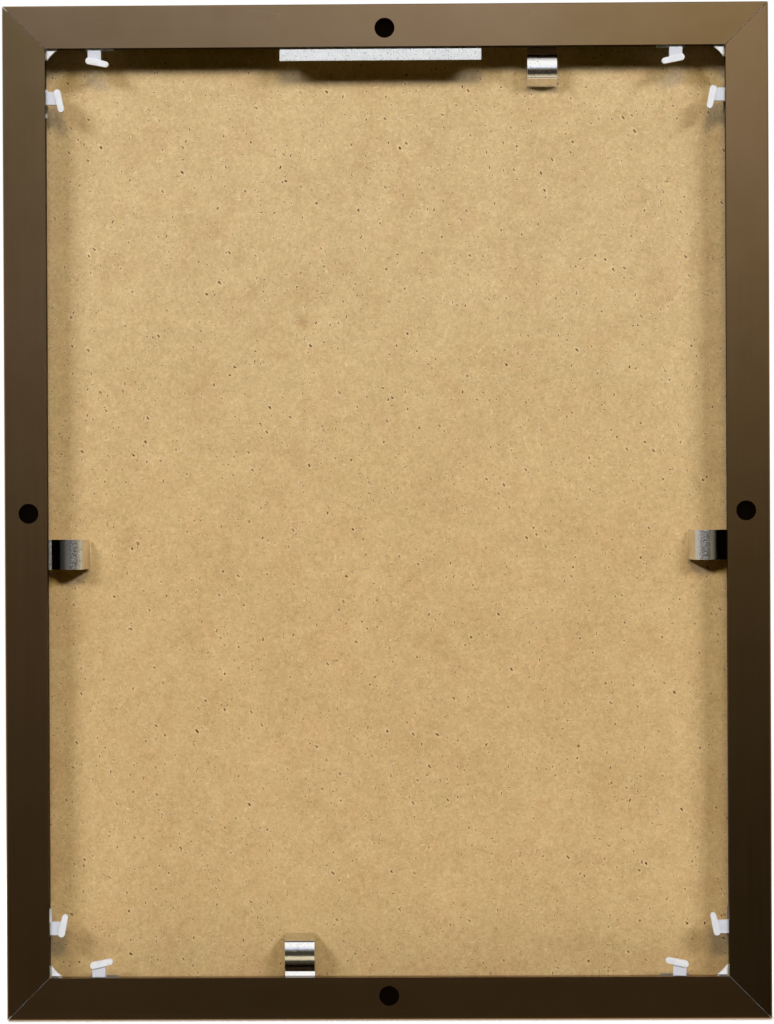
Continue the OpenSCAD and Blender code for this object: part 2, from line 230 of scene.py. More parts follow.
specks = makeSpecks("specks", "3D")
sheetSpecks = makeSpecks("sheetSpecks", "2D")
scratches = makeScratches()
edges = makeEdges()


def newMaterial(name):
    material = bpy.data.materials.new(name)
    material.use_nodes = True
    tree = material.node_tree
    return material, tree, tree.nodes["Principled BSDF"]


def setShader(tree, shader, **values):
    fill(tree, shader.inputs, {key.replace("_", " "): value for key, value in values.items()})


# Bronze brown anodised aluminium, with the fine lines that extrusion leaves along each rail.
# Noises are scale, detail, roughness and warp. The walls that face inwards and the hollows'
# interiors get painted shade, all but the bottom rail's wall. Edges are lighter, as wear and as a
# painted edge highlight, but not near the top
bronze = {
    "colour": (0.310, 0.205, 0.108, 1), "deep": (0.260, 0.160, 0.075, 1),
    "rub": (0.40, 0.34, 0.28, 1), "inside": (0.014, 0.008, 0.004, 1),
    "metallic": 0.985, "coat": 0.05, "coatRoughness": 0.20,
    "roughness": 0.17, "spread": 0.10, "scratchRoughness": -0.08, "insideRoughness": 0.5,
    "drawn": (1.0, 3.0, 0.65), "cloud": (0.05, 3.0, 0.6), "contrast": (1.2, -0.7),
    "worn": {"Radius": 0.25 * mm, "Strength": 0.45}, "wornBelow": (180.0, 150.0),
    "gaps": (0.22, 3.0, 0.7), "gapShare": (0.42, 0.62, 0.1, 1.0),
    "scratch": {"Cell": 26.0, "Width": 0.0022, "Amount": 0.42}, "scratchShare": 0.5,
    "speck": {"Cell": 3.2, "Radius": 0.16}, "speckChance": (0.55, 0.9), "speckShare": 0.35,
    "hollowDepth": -7.0, "hollowFacing": -0.7,
    "wallDepth": 0.0, "wallFacing": 0.5, "wallAbove": -185.0, "wallShare": 0.85,
    "bump": (0.25, 0.004 * mm),
}
# A drift is painted light and shade, a rail made lighter or darker along it: the axis and sign of its
# side of the frame, the axis along it, where the drift starts and ends, and the colour's factor at its end
bronzeKinds = {
    "bronzeLevelRails": {
        "lines": (0.02, 5.0, 5.0),
        "drifts": [("Z", -1, "X", -60.0, 130.0, (1.24, 1.16, 1.0, 1)),
                   ("Z", 1, "X", 40.0, 95.0, (0.94, 0.94, 0.83, 1))],
    },
    "bronzeUprightRails": {
        "lines": (5.0, 5.0, 0.02),
        "drifts": [("X", 1, "Z", 150.0, -60.0, (0.80, 0.79, 0.68, 1)),
                   ("X", -1, "Z", 60.0, 150.0, (0.86, 0.85, 0.72, 1)),
                   ("X", -1, "Z", 140.0, 100.0, (0.98, 0.955, 0.90, 1)),
                   ("X", -1, "Z", -60.0, -150.0, (0.92, 0.92, 0.92, 1))],
    },
}


def bronzeMaterial(name):
    material, tree, shader = newMaterial(name)
    place = millimetres(tree)
    drawn = noise(tree, millimetres(tree, bronzeKinds[name]["lines"]), *bronze["drawn"])
    cloud = noise(tree, place, *bronze["cloud"])
    tone = calc(tree, "MULTIPLY_ADD", calc(tree, "ADD", drawn, cloud), *bronze["contrast"])
    colour = mixColour(tree, tone, bronze["deep"], bronze["colour"])
    parts = axes(tree, place)
    # Painted light and shade: each drift makes a rail lighter or darker along its length
    for side, sign, along, start, end, factor in bronzeKinds[name]["drifts"]:
        there = calc(tree, "GREATER_THAN", calc(tree, "MULTIPLY", parts[side], sign), 0.0)
        share = calc(tree, "MULTIPLY", there, ramp(tree, parts[along], start, end))
        colour = toned(tree, share, colour, factor)
    # Edges are lighter, partly wear and partly a painted edge highlight, with none near the top; scratches
    # and specks are wear
    worn = useGroup(tree, edges, **bronze["worn"])["Mask"]
    gaps = ramp(tree, noise(tree, place, *bronze["gaps"]), *bronze["gapShare"])
    worn = product(tree, worn, ramp(tree, parts["Z"], *bronze["wornBelow"]), gaps)
    marks = useGroup(tree, scratches, Vector=place, **bronze["scratch"])["Mask"]
    dots = useGroup(tree, specks, Vector=place, **bronze["speck"])
    chance = ramp(tree, dots["Chance"], *bronze["speckChance"])
    speckled = product(tree, dots["Mask"], chance, bronze["speckShare"])
    rubbedAndGlinting = highest(tree, worn, calc(tree, "MULTIPLY", marks, bronze["scratchShare"]), speckled)
    colour = mixColour(tree, rubbedAndGlinting, colour, bronze["rub"])
    # Painted shade: the hollows' interiors and the walls that face inwards, all but the bottom rail's, are
    # made near black
    normal = addNode(tree, "NewGeometry").outputs["True Normal"]
    facing = axes(tree, normal)["Y"]
    deep = calc(tree, "GREATER_THAN", parts["Y"], bronze["hollowDepth"])
    hollow = calc(tree, "MULTIPLY", deep, calc(tree, "LESS_THAN", facing, bronze["hollowFacing"]))
    flat = vectorCalc(tree, "MULTIPLY", place, (1, 0, 1))
    outwards = vectorCalc(tree, "DOT_PRODUCT", flat, normal, out="Value")
    sideways = calc(tree, "LESS_THAN", calc(tree, "ABSOLUTE", facing), bronze["wallFacing"])
    wall = product(tree, calc(tree, "LESS_THAN", outwards, 0.0), sideways,
                   calc(tree, "LESS_THAN", parts["Y"], bronze["wallDepth"]),
                   calc(tree, "GREATER_THAN", parts["Z"], bronze["wallAbove"]), bronze["wallShare"])
    inside = highest(tree, hollow, wall)
    colour = mixColour(tree, inside, colour, bronze["inside"])
    rough = varied(tree, drawn, bronze["spread"], bronze["roughness"])
    rough = calc(tree, "MULTIPLY_ADD", marks, bronze["scratchRoughness"], rough)
    rough = calc(tree, "MULTIPLY_ADD", inside, bronze["insideRoughness"], rough)
    coat = calc(tree, "MULTIPLY", calc(tree, "SUBTRACT", 1.0, inside), bronze["coat"])
    setShader(tree, shader, Base_Color=colour, Roughness=rough, Metallic=bronze["metallic"],
              Coat_Weight=coat, Coat_Roughness=bronze["coatRoughness"],
              Normal=bump(tree, drawn, *bronze["bump"]))
    return material


# White moulded nylon, a little see-through. Each kind has painted shade, greyer below a span of depth.
# The corner pieces' snap bars have painted shade, dark where they show beside the bottom and right rails
nylon = {
    "colour": (0.86, 0.86, 0.87, 1), "shade": (0.79, 0.79, 0.80, 1), "thin": (0.68, 0.69, 0.74, 1),
    "inner": (0.16, 0.12, 0.08, 1), "mark": (0.45, 0.42, 0.38, 1),
    "flow": (0.35, 3.0, 0.55, 0.6), "flowShare": (0.35, 0.65), "grain": (6.0, 2.0), "spread": 0.14,
    "speck": {"Cell": 2.2, "Radius": 0.10}, "speckShare": 0.35, "bump": (0.2, 0.01 * mm),
    "through": 0.35, "throughTint": (1.0, 0.95, 0.9), "throughDepth": 0.9 * mm, "refraction": 1.53,
    "bottomEdge": -184.9, "bottomReach": 128.0, "rightEdge": 134.9, "rightReach": 178.0,
}
nylonKinds = {
    "cornerNylon": {"roughness": 0.42, "thin": (-7.3, -6.9), "hidden": 0.9},
    "lockNylon": {"roughness": 0.34, "thin": (-7.88, -7.70), "hidden": None},
}


def snapBars(tree, parts):
    low = calc(tree, "LESS_THAN", parts["Z"], nylon["bottomEdge"])
    near = calc(tree, "LESS_THAN", calc(tree, "ABSOLUTE", parts["X"]), nylon["bottomReach"])
    right = calc(tree, "GREATER_THAN", parts["X"], nylon["rightEdge"])
    level = calc(tree, "LESS_THAN", calc(tree, "ABSOLUTE", parts["Z"]), nylon["rightReach"])
    return highest(tree, product(tree, low, near), product(tree, right, level))


def nylonMaterial(name):
    material, tree, shader = newMaterial(name)
    kind = nylonKinds[name]
    place = millimetres(tree)
    flow = ramp(tree, noise(tree, place, *nylon["flow"]), *nylon["flowShare"])
    colour = mixColour(tree, flow, nylon["shade"], nylon["colour"])
    dots = useGroup(tree, specks, Vector=place, **nylon["speck"])["Mask"]
    colour = mixColour(tree, calc(tree, "MULTIPLY", dots, nylon["speckShare"]), colour, nylon["mark"])
    parts = axes(tree, place)
    # Painted shade: greyer and bluer where the piece lies deeper in the rails
    colour = mixColour(tree, ramp(tree, parts["Y"], *kind["thin"]), colour, nylon["thin"])
    # Painted shade: the snap bars that show beside the bottom and right rails are made dark brown
    if kind["hidden"]:
        share = calc(tree, "MULTIPLY", snapBars(tree, parts), kind["hidden"])
        colour = mixColour(tree, share, colour, nylon["inner"])
    grain = noise(tree, place, *nylon["grain"])
    rough = varied(tree, grain, nylon["spread"], kind["roughness"])
    setShader(tree, shader, Base_Color=colour, Roughness=rough, IOR=nylon["refraction"],
              Subsurface_Weight=nylon["through"], Subsurface_Radius=nylon["throughTint"],
              Subsurface_Scale=nylon["throughDepth"], Normal=bump(tree, grain, *nylon["bump"]))
    return material


# Nickel-plated spring steel with fine wear. The side clips have more texture and a band of painted
# shade near the rail, and the left and bottom clips have a slight fold there that catches the light.
# Distances across are from the middle to the left, or to the right less the shift
steel = {
    "colour": (0.76, 0.75, 0.73, 1), "tarnish": (0.36, 0.34, 0.31, 1), "root": (0.05, 0.05, 0.05, 1),
    "roughness": 0.11, "spread": 0.12, "scratchRoughness": 0.18,
    "cloud": (0.45, 4.0, 0.6), "cloudTarnish": (0.56, 0.80, 0.0, 0.5),
    "ripple": (1.6, 3.0, 0.7), "rippleHeight": 0.8, "bump": (0.8, 0.03 * mm),
    "scratch": {"Cell": 4.0, "Width": 0.012, "Amount": 0.52},
    "pit": {"Cell": 0.9, "Radius": 0.28}, "pitChance": (0.35, 0.8), "pitTarnish": 0.8, "pitDepth": 0.7,
    "shift": 2.0, "bandStart": (130.2, 124.5), "bandEnd": (136.5, 138.5),
    "leftFold": -134.8, "bottomFold": -184.2, "bottomSteeper": 1.6, "foldMost": 3.0,
    "foldBump": (1.0, 0.8 * mm), "sideFrom": 110.0, "sideTexture": 2.2,
}


def steelMaterial():
    material, tree, shader = newMaterial("nickelSpringSteel")
    place = millimetres(tree)
    cloud = noise(tree, place, *steel["cloud"])
    ripple = noise(tree, place, *steel["ripple"])
    marks = useGroup(tree, scratches, Vector=place, **steel["scratch"])["Mask"]
    pits = useGroup(tree, specks, Vector=place, **steel["pit"])
    pitted = calc(tree, "MULTIPLY", pits["Mask"], ramp(tree, pits["Chance"], *steel["pitChance"]))
    dull = highest(tree, calc(tree, "MULTIPLY", pitted, steel["pitTarnish"]),
                   ramp(tree, cloud, *steel["cloudTarnish"]))
    colour = mixColour(tree, dull, steel["colour"], steel["tarnish"])
    parts = axes(tree, place)
    leftFold = calc(tree, "SUBTRACT", steel["leftFold"], parts["X"])
    bottomFold = calc(tree, "SUBTRACT", steel["bottomFold"], parts["Z"])
    bottomFold = calc(tree, "MULTIPLY", bottomFold, steel["bottomSteeper"])
    fold = highest(tree, leftFold, bottomFold, 0.0)
    fold = calc(tree, "MINIMUM", fold, steel["foldMost"])
    # Painted shade: a near black band on the side clips next to the rail, but not on the fold
    across = highest(tree, calc(tree, "MULTIPLY", parts["X"], -1.0),
                     calc(tree, "SUBTRACT", parts["X"], steel["shift"]))
    outsideShadeBand = highest(tree, ramp(tree, across, *steel["bandStart"]),
                    calc(tree, "GREATER_THAN", fold, 0.0), ramp(tree, across, *steel["bandEnd"]))
    colour = mixColour(tree, outsideShadeBand, steel["root"], colour)
    rough = varied(tree, cloud, steel["spread"], steel["roughness"])
    rough = calc(tree, "MULTIPLY_ADD", marks, steel["scratchRoughness"], rough)
    height = calc(tree, "MULTIPLY_ADD", ripple, steel["rippleHeight"], cloud)
    height = calc(tree, "SUBTRACT", height, calc(tree, "MULTIPLY", pitted, steel["pitDepth"]))
    side = calc(tree, "GREATER_THAN", across, steel["sideFrom"])
    height = calc(tree, "MULTIPLY", height, calc(tree, "MULTIPLY_ADD", side, steel["sideTexture"], 1.0))
    folded = bump(tree, fold, *steel["foldBump"])
    setShader(tree, shader, Base_Color=colour, Roughness=rough, Metallic=1.0,
              Normal=bump(tree, height, *steel["bump"], Normal=folded))
    return material


# Zinc-plated strip: pale spangle with dark specks of two sizes, more of them towards its right end
zinc = {
    "colour": (0.95, 0.96, 0.95, 1), "grey": (0.70, 0.73, 0.77, 1), "speck": (0.26, 0.28, 0.31, 1),
    "roughness": 0.34, "spread": 0.2, "speckRoughness": 0.3, "metallic": 0.35, "bump": (0.4, 0.02 * mm),
    "spangle": 0.9, "cloud": (0.6, 4.0, 0.6), "drawn": (1.0, 2.0, 0.6), "lines": (0.06, 2, 2),
    "spangleShare": 0.4, "drawnShare": 0.7, "cloudShare": 0.4, "less": 0.1,
    "speckSizes": ((1.3, 0.34), (0.8, 0.20)), "speckless": (-20.0, 25.0, 0.62, 0.30), "speckShare": 0.8,
}


def zincMaterial():
    material, tree, shader = newMaterial("zincStrip")
    place = millimetres(tree)
    plane = millimetres(tree, turn=(90, 0, 0))
    cells = addNode(tree, "TexVoronoi", {"Vector": place, "Scale": zinc["spangle"]}).outputs
    spangle = addNode(tree, "SeparateColor", {"Color": cells["Color"]}).outputs[0]
    cloud = noise(tree, place, *zinc["cloud"])
    drawn = noise(tree, millimetres(tree, zinc["lines"]), *zinc["drawn"])
    tone = calc(tree, "ADD", calc(tree, "MULTIPLY", spangle, zinc["spangleShare"]),
                calc(tree, "MULTIPLY", drawn, zinc["drawnShare"]))
    tone = calc(tree, "SUBTRACT", tone, zinc["less"])
    tone = calc(tree, "MULTIPLY_ADD", cloud, zinc["cloudShare"], tone)
    colour = mixColour(tree, tone, zinc["grey"], zinc["colour"])
    least = ramp(tree, axes(tree, place)["X"], *zinc["speckless"])
    dark = 0.0
    for cell, radius in zinc["speckSizes"]:
        dots = useGroup(tree, sheetSpecks, Vector=plane, Cell=cell, Radius=radius)
        found = calc(tree, "MULTIPLY", dots["Mask"], calc(tree, "GREATER_THAN", dots["Chance"], least))
        dark = highest(tree, dark, found)
    colour = mixColour(tree, calc(tree, "MULTIPLY", dark, zinc["speckShare"]), colour, zinc["speck"])
    rough = varied(tree, cloud, zinc["spread"], zinc["roughness"])
    rough = calc(tree, "MULTIPLY_ADD", dark, zinc["speckRoughness"], rough)
    height = calc(tree, "SUBTRACT", cloud, dark)
    setShader(tree, shader, Base_Color=colour, Roughness=rough, Metallic=zinc["metallic"],
              Normal=bump(tree, height, *zinc["bump"]))
    return material


# Tan hardboard: pulp grain, fibres lying all ways, dark flecks with paler rims, soft clouds and a few
# stains. A layer is its direction in degrees, its cells' size, its marks' radius, and for flecks the
# chance above which they show, for fibres how much they are drawn out (less is longer). A stain is its
# place across and up, its radius and its strength. Tones start and end at a height
board = {
    "deep": (0.498, 0.347, 0.157, 1), "pale": (0.825, 0.607, 0.324, 1), "blush": (0.975, 0.93, 0.93, 1),
    "fibre": (0.89, 0.70, 0.43, 1), "dark": (0.35, 0.215, 0.080, 1), "fleck": (0.15, 0.052, 0.003, 1),
    "stain": (0.42, 0.23, 0.11, 1), "gloss": 0.03, "roughness": 0.65, "spread": 0.2,
    "layers": {"clouds": (0.03, 4.0, 0.9, 0.3), "pulp": (0.40, 2.0, 0.9, 0.6), "grain": (1.0, 2.0, 1.0)},
    "strengths": {"clouds": 0.78, "pulp": 0.85, "grain": 1.25},
    "blushCloud": (0.06, 4.0, 0.7), "blushTurn": (40, 0, 0), "blushShare": (0.45, 0.65),
    "fibres": [(8.0, 2.6, 0.30, 0.22), (52.0, 2.4, 0.28, 0.25), (97.0, 2.8, 0.32, 0.22),
               (144.0, 2.5, 0.28, 0.25)],
    "fibrePale": (0.50, 1.0, 0.0, 0.6), "fibreDark": (0.45, 0.0, 0.0, 0.5), "fibreHeight": 0.4,
    "flecks": [(18.0, 2.2, 0.30, 0.38), (74.0, 2.8, 0.42, 0.50), (131.0, 3.6, 0.56, 0.58),
               (100.0, 1.6, 0.22, 0.32)],
    "fleckDrawn": 0.5, "rimSize": 2.2, "rimShare": 0.45, "bend": (2.2, 1.0), "bendReach": 0.9,
    "stains": [(-54.0, 88.0, 5.0, 0.30), (-34.0, 77.0, 4.2, 0.45), (62.0, -90.0, 3.5, 0.10)],
    "spot": (76.4, -94.4, 0.9), "spotShare": 0.9, "bump": (0.15, 0.03 * mm),
    "tones": [(130.0, -60.0, (0.975, 0.925, 0.85, 1)), (-150.0, -190.0, (0.80, 0.80, 0.78, 1))],
}
roundShape = {"scale": 1.1, "detail": 4.0, "roughness": 0.7, "ragged": 1.6, "outer": 1.9, "inner": 0.7}


def roundMark(tree, place, x, z, radius):
    centred = vectorCalc(tree, "SUBTRACT", place, (x, 0, z))
    flat = vectorCalc(tree, "MULTIPLY", centred, (1, 0, 1))
    far = vectorCalc(tree, "LENGTH", flat, out="Value")
    scale = roundShape["scale"] / math.sqrt(radius)
    uneven = noise(tree, place, scale, roundShape["detail"], roundShape["roughness"])
    ragged = calc(tree, "MULTIPLY_ADD", uneven, roundShape["ragged"] * radius, far)
    return ramp(tree, ragged, roundShape["outer"] * radius, roundShape["inner"] * radius)


# Flecks or fibres lying one way in the plane of the sheet, a little ragged: a mask and a chance of each
def strewn(tree, angle, drawnOut, cell, radius):
    lying = millimetres(tree, (drawnOut, 1, 1), (90, 0, angle))
    bends = noise(tree, lying, *board["bend"], out="Color")
    bent = vectorCalc(tree, "MULTIPLY_ADD", bends, (board["bendReach"],) * 3, lying)
    return useGroup(tree, sheetSpecks, Vector=bent, Cell=cell, Radius=radius)


def boardMaterial():
    material, tree, shader = newMaterial("tanHardboard")
    place = millimetres(tree)
    layers = {name: noise(tree, place, *values) for name, values in board["layers"].items()}
    tone = 0.5
    for name, layer in layers.items():
        uneven = calc(tree, "SUBTRACT", layer, 0.5)
        tone = calc(tree, "MULTIPLY_ADD", uneven, board["strengths"][name], tone)
    colour = mixColour(tree, tone, board["deep"], board["pale"])
    blush = noise(tree, millimetres(tree, turn=board["blushTurn"]), *board["blushCloud"])
    colour = toned(tree, ramp(tree, blush, *board["blushShare"]), colour, board["blush"])
    strands = 0.0
    for angle, cell, radius, drawnOut in board["fibres"]:
        found = strewn(tree, angle, drawnOut, cell, radius)
        for span, name in ((board["fibrePale"], "fibre"), (board["fibreDark"], "dark")):
            shown = calc(tree, "MULTIPLY", found["Mask"], ramp(tree, found["Chance"], *span))
            colour = mixColour(tree, shown, colour, board[name])
        strands = highest(tree, strands, found["Mask"])
    for angle, cell, radius, least in board["flecks"]:
        for size, share, name in ((board["rimSize"], board["rimShare"], "fibre"), (1.0, 1.0, "fleck")):
            found = strewn(tree, angle, board["fleckDrawn"], cell, radius * size)
            chance = ramp(tree, found["Chance"], least, 1.0, 0.0, share)
            colour = mixColour(tree, calc(tree, "MULTIPLY", found["Mask"], chance), colour, board[name])
    for x, z, radius, strength in board["stains"]:
        mark = calc(tree, "MULTIPLY", roundMark(tree, place, x, z, radius), strength)
        colour = mixColour(tree, mark, colour, board["stain"])
    # The board is warmer and a little darker towards the bottom, and darker still near its bottom edge
    for start, end, factor in board["tones"]:
        colour = toned(tree, ramp(tree, axes(tree, place)["Z"], start, end), colour, factor)
    spot = calc(tree, "MULTIPLY", roundMark(tree, place, *board["spot"]), board["spotShare"])
    colour = mixColour(tree, spot, colour, board["fleck"])
    rough = varied(tree, layers["pulp"], board["spread"], board["roughness"])
    height = calc(tree, "ADD", layers["pulp"], layers["grain"])
    height = calc(tree, "MULTIPLY_ADD", strands, board["fibreHeight"], height)
    setShader(tree, shader, Base_Color=colour, Roughness=rough, Specular_IOR_Level=board["gloss"],
              Normal=bump(tree, height, *board["bump"]))
    return material


# Blank picture sheet
sheet = {
    "shade": (0.76, 0.75, 0.72, 1), "colour": (0.86, 0.85, 0.82, 1), "roughness": 0.8,
    "fibre": (1.8, 5.0, 0.65), "cloud": (0.08, 3.0), "bump": (0.3, 0.03 * mm),
}


def paperMaterial():
    material, tree, shader = newMaterial("blankPaper")
    place = millimetres(tree)
    fibre = noise(tree, place, *sheet["fibre"])
    cloud = noise(tree, place, *sheet["cloud"])
    tone = calc(tree, "MULTIPLY_ADD", cloud, 0.5, calc(tree, "MULTIPLY", fibre, 0.5))
    colour = mixColour(tree, tone, sheet["shade"], sheet["colour"])
    setShader(tree, shader, Base_Color=colour, Roughness=sheet["roughness"],
              Normal=bump(tree, fibre, *sheet["bump"]))
    return material


# Clear float glass, with a faint haze. Light for shadows and bounces passes straight through it
pane = {
    "colour": (0.985, 0.995, 0.99, 1), "refraction": 1.52,
    "cloud": (0.05, 3.0), "haze": (0.3, 0.8, 0.0, 0.03),
}


def glassMaterial():
    material, tree, shader = newMaterial("clearGlass")
    haze = noise(tree, millimetres(tree), *pane["cloud"])
    setShader(tree, shader, Base_Color=pane["colour"], Roughness=ramp(tree, haze, *pane["haze"]),
              IOR=pane["refraction"], Transmission_Weight=1.0)
    rays = addNode(tree, "LightPath").outputs
    passing = highest(tree, rays["Is Shadow Ray"], rays["Is Diffuse Ray"])
    clear = addNode(tree, "BsdfTransparent", {"Color": pane["colour"]}).outputs[0]
    both = addNode(tree, "MixShader", {0: passing, 1: shader.outputs[0], 2: clear}).outputs[0]
    fill(tree, tree.nodes["Material Output"].inputs, {"Surface": both})
    return material


levelBronze = bronzeMaterial("bronzeLevelRails")
uprightBronze = bronzeMaterial("bronzeUprightRails")
cornerNylon = nylonMaterial("cornerNylon")
lockNylon = nylonMaterial("lockNylon")
springSteel = steelMaterial()
zincStrip = zincMaterial()
hardboard = boardMaterial()
paper = paperMaterial()
clearGlass = glassMaterial()
print("materials made:", len(bpy.data.materials))


# A dressed piece is a merged copy of its node, with its edges rounded as the real one's are
dressing = {"merge": 0.002 * mm, "flatAngle": 0.4, "sharpAngle": 28, "flatWeight": 50}


def dress(node, material, rounding, segments):
    work = bmesh.new()
    work.from_mesh(nodes[node].data)
    bmesh.ops.remove_doubles(work, verts=work.verts, dist=dressing["merge"])
    flatAngle = math.radians(dressing["flatAngle"])
    bmesh.ops.dissolve_limit(work, angle_limit=flatAngle, verts=work.verts, edges=work.edges)
    for face in work.faces:
        face.smooth = True
    words = node.split("_")
    mesh = bpy.data.meshes.new(words[0] + "".join(w.capitalize() for w in words[1:]))
    work.to_mesh(mesh)
    work.free()
    mesh.materials.append(material)
    piece = bpy.data.objects.new(mesh.name, mesh)
    bpy.context.scene.collection.objects.link(piece)
    soften = piece.modifiers.new("roundedEdges", "BEVEL")
    soften.width = rounding * mm
    soften.segments = segments
    soften.profile = 0.5
    soften.limit_method = "ANGLE"
    soften.angle_limit = math.radians(dressing["sharpAngle"])
    flatten = piece.modifiers.new("flatFacesStayFlat", "WEIGHTED_NORMAL")
    flatten.mode = "FACE_AREA"
    flatten.weight = dressing["flatWeight"]
    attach(piece, nodeBody[node])
    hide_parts(node)


# Each kind of piece: its material, the radius of its edges and the steps that round them
finishes = {
    "rail_bottom": (levelBronze, 0.012, 2), "rail_top": (levelBronze, 0.012, 2),
    "rail_left": (uprightBronze, 0.012, 2), "rail_right": (uprightBronze, 0.012, 2),
    "corner": (cornerNylon, 0.12, 2), "lock": (lockNylon, 0.18, 3), "clip": (springSteel, 0.12, 2),
    "hanger": (zincStrip, 0.10, 2), "backing": (hardboard, 0.15, 2), "picture": (paper, 0.05, 2),
    "glass": (clearGlass, 0.2, 2),
}

for node in sorted(nodes):
    finish = finishes.get(node) or finishes[node.split("_")[0]]
    dress(node, *finish)
print("pieces dressed:", len(nodes))


# Camera, from a fit to the frame's corners and holes in the photograph. Angles are in degrees, and
# the nearest and farthest that it sees are in metres
camera = {
    "aim": (0.08, -8.5, 0.03), "distance": 1500, "yaw": 0.902, "pitch": 0.230, "roll": -0.278,
    "lens": 132.0, "sensor": 36, "sees": (0.05, 100),
}


def placeCamera():
    yaw, pitch, roll = (math.radians(camera[k]) for k in ("yaw", "pitch", "roll"))
    level = math.cos(pitch)
    back = Vector((math.sin(yaw) * level, -math.cos(yaw) * level, math.sin(pitch)))
    right = Vector((0, 0, 1)).cross(back).normalized()
    up = back.cross(right)
    leanRight = math.cos(roll) * right + math.sin(roll) * up
    leanUp = back.cross(leanRight)
    lens = bpy.data.cameras.new("backView")
    lens.lens = camera["lens"]
    lens.sensor_width = camera["sensor"]
    lens.clip_start, lens.clip_end = camera["sees"]
    eye = bpy.data.objects.new("backView", lens)
    bpy.context.scene.collection.objects.link(eye)
    turn = Matrix((leanRight, leanUp, back)).transposed()
    spot = (Vector(camera["aim"]) + back * camera["distance"]) * mm
    eye.matrix_world = Matrix.Translation(spot) @ turn.to_4x4()
    bpy.context.scene.camera = eye


# Three soft lamps in a row, above the frame and out from its back, and one above its front, in metres
lamps = {
    "leftLamp": {"place": (-5.4, -4.7, 4.6), "size": (2.6, 1.1), "power": 430, "tint": (0.95, 1.0, 1.16)},
    "middleLamp": {"place": (0.3, -4.8, 4.7), "size": (2.2, 1.1), "power": 162, "tint": (1.12, 1.0, 0.62)},
    "rightLamp": {"place": (5.4, -4.7, 4.6), "size": (2.6, 1.1), "power": 430, "tint": (0.95, 1.0, 1.16)},
    "frontLamp": {"place": (-1.6, 5.2, 3.8), "size": (3.4, 2.0), "power": 420, "tint": (1.0, 0.99, 0.97)},
}


# The lamps are left out of reflections, which show the room's own panels
def placeLamps():
    for name, lamp in lamps.items():
        light = bpy.data.lights.new(name, "AREA")
        light.shape = "RECTANGLE"
        light.size, light.size_y = lamp["size"]
        light.energy = lamp["power"]
        light.color = lamp["tint"]
        holder = bpy.data.objects.new(name, light)
        bpy.context.scene.collection.objects.link(holder)
        holder.location = lamp["place"]
        holder.rotation_euler = (-Vector(lamp["place"])).to_track_quat("-Z", "Y").to_euler()
        holder.visible_glossy = False


# Studio: white behind the frame and, on the camera's side, a dim room that brightens upwards, which
# only reflections see. Spans are parts of a direction, from -1 to 1. The glow fades towards the
# ceiling and to the sides, and the corner on the left is a little lighter than the right
room = {
    "ambient": 0.010, "rise": (-0.15, 0.15), "curve": 2.8, "bright": 1.30, "ceiling": (0.50, 0.20),
    "middle": 0.04, "width": 0.14, "corner": (0.115, 0.0, 0.004, 0.055), "behind": (-0.25, 0.15),
    "shift": 0.06,
}
# Soft panels in the room: start, full, end and gone along an axis, and the level
panels = {
    "above": (0.17, 0.27, 0.50, 0.86, 1.25), "below": (0.36, 0.46, 0.62, 0.70, 0.85),
    "floor": (0.85, 0.89, 1.50, 1.60, 0.95), "beside": (0.10, 0.24, 0.42, 0.60, 0.18),
    "wings": (0.28, 0.36, 1.50, 1.60, 0.55),
}
# The room's hues, low down, level and level to the right, and where one gives way to the next
hues = {
    "shade": (1.0, 0.66, 0.13, 1), "dusk": (1.08, 0.93, 0.66, 1), "day": (0.97, 1.08, 1.38, 1),
    "noon": (0.95, 0.90, 0.76, 1), "white": (1, 1, 1, 1),
    "toNoon": (0.035, 0.075), "toDay": (-0.06, 0.14), "toWhite": (0.15, 0.25),
}


def panel(tree, value, name):
    start, full, end, gone, level = panels[name]
    rising = ramp(tree, value, start, full, 0.0, level)
    return calc(tree, "MULTIPLY", rising, ramp(tree, value, gone, end))


def reflectedLevel(tree, parts):
    low, high = room["rise"]
    span = {"Value": parts["Z"], "From Min": low, "From Max": high}
    height = addNode(tree, "MapRange", span).outputs[0]
    upwards = product(tree, calc(tree, "POWER", height, room["curve"]), room["bright"],
                      ramp(tree, parts["Z"], *room["ceiling"]))
    aside = calc(tree, "DIVIDE", calc(tree, "SUBTRACT", parts["X"], room["middle"]), room["width"])
    fall = calc(tree, "DIVIDE", 1.0, calc(tree, "MULTIPLY_ADD", aside, aside, 1.0))
    seen = calc(tree, "MULTIPLY_ADD", upwards, fall, ramp(tree, parts["X"], *room["corner"]))
    down = calc(tree, "MULTIPLY", parts["Z"], -1.0)
    across = highest(tree, calc(tree, "MULTIPLY", parts["X"], -1.0),
                     calc(tree, "SUBTRACT", parts["X"], room["shift"]))
    ways = {"above": parts["Z"], "below": down, "floor": down, "beside": across, "wings": across}
    for name, value in ways.items():
        seen = highest(tree, seen, panel(tree, value, name))
    return highest(tree, seen, ramp(tree, parts["Y"], *room["behind"]))


def reflectedHue(tree, parts):
    level = mixColour(tree, ramp(tree, parts["X"], *hues["toNoon"]), hues["day"], hues["noon"])
    hue = mixColour(tree, ramp(tree, parts["Z"], *hues["toDay"]), hues["dusk"], level)
    return mixColour(tree, ramp(tree, parts["Z"], *hues["toWhite"]), hue, hues["white"])


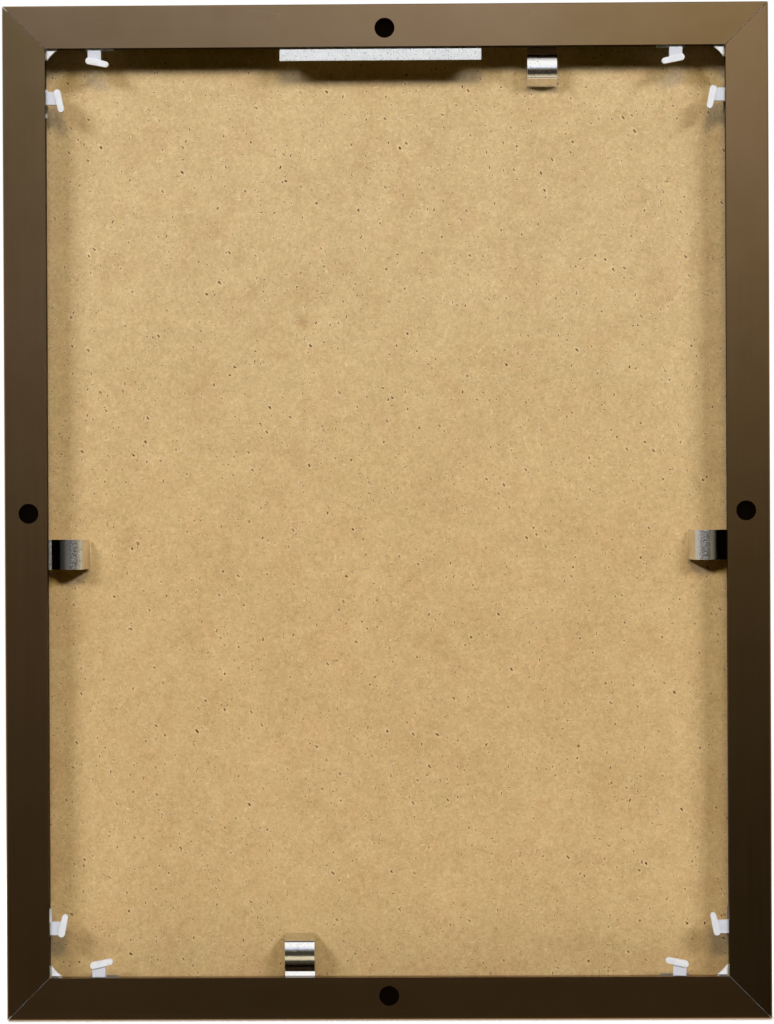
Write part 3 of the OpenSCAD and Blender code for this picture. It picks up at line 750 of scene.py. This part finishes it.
def makeWorld():
    world = bpy.data.worlds.new("studio")
    bpy.context.scene.world = world
    world.use_nodes = True
    tree = world.node_tree
    parts = axes(tree, addNode(tree, "TexCoord").outputs["Generated"])
    rays = addNode(tree, "LightPath").outputs
    clear = highest(tree, rays["Is Camera Ray"], rays["Is Transmission Ray"])
    glossy = calc(tree, "MULTIPLY", rays["Is Glossy Ray"], reflectedLevel(tree, parts))
    level = highest(tree, glossy, clear, room["ambient"])
    hue = mixColour(tree, rays["Is Glossy Ray"], hues["shade"], reflectedHue(tree, parts))
    hue = mixColour(tree, clear, hue, hues["white"])
    fill(tree, tree.nodes["Background"].inputs, {"Strength": level, "Color": hue})


# Plain pale floor that keeps the shadow, white to the camera and clear from below. Bounced light sees
# it dim, and reflections don't see it on the camera's side. Sizes are in metres
ground = {
    "size": 6.0, "drop": 0.0005, "colour": (0.78, 0.78, 0.78, 1), "roughness": 0.9, "glow": 0.3,
    "dim": (0.033, 0.025, 0.003, 1), "white": (1, 1, 1, 1), "whiteFrom": (0.55, 1.0),
    "back": (0.02, -0.02),
}


def layFloor():
    work = bmesh.new()
    bmesh.ops.create_grid(work, x_segments=1, y_segments=1, size=ground["size"])
    bmesh.ops.translate(work, verts=work.verts, vec=(0, 0, cadBox[0].z - ground["drop"]))
    mesh = bpy.data.meshes.new("floor")
    work.to_mesh(mesh)
    work.free()
    floor = bpy.data.objects.new("floor", mesh)
    bpy.context.scene.collection.objects.link(floor)
    material, tree, shader = newMaterial("paleFloor")
    setShader(tree, shader, Base_Color=ground["colour"], Roughness=ground["roughness"],
              Emission_Color=ground["white"], Emission_Strength=ground["glow"])
    rays = addNode(tree, "LightPath").outputs
    place = addNode(tree, "TexCoord").outputs["Object"]
    far = vectorCalc(tree, "LENGTH", place, out="Value")
    white = addNode(tree, "Emission", {"Color": ground["white"], "Strength": 1.0}).outputs[0]
    fade = ramp(tree, far, *ground["whiteFrom"])
    near = addNode(tree, "MixShader", {0: fade, 1: shader.outputs[0], 2: white}).outputs[0]
    dim = addNode(tree, "BsdfDiffuse", {"Color": ground["dim"]}).outputs[0]
    shown = highest(tree, rays["Is Camera Ray"], rays["Is Glossy Ray"], rays["Is Transmission Ray"])
    shade = addNode(tree, "MixShader", {0: shown, 1: dim, 2: near}).outputs[0]
    back = ramp(tree, axes(tree, place)["Y"], *ground["back"])
    below = addNode(tree, "NewGeometry").outputs["Backfacing"]
    unseen = highest(tree, below, calc(tree, "MULTIPLY", rays["Is Glossy Ray"], back))
    clear = addNode(tree, "BsdfTransparent").outputs[0]
    whole = addNode(tree, "MixShader", {0: unseen, 1: shade, 2: clear}).outputs[0]
    fill(tree, tree.nodes["Material Output"].inputs, {"Surface": whole})
    mesh.materials.append(material)


placeCamera()
placeLamps()
makeWorld()
layFloor()
bpy.context.scene.view_settings.view_transform = "Standard"
print("studio set")
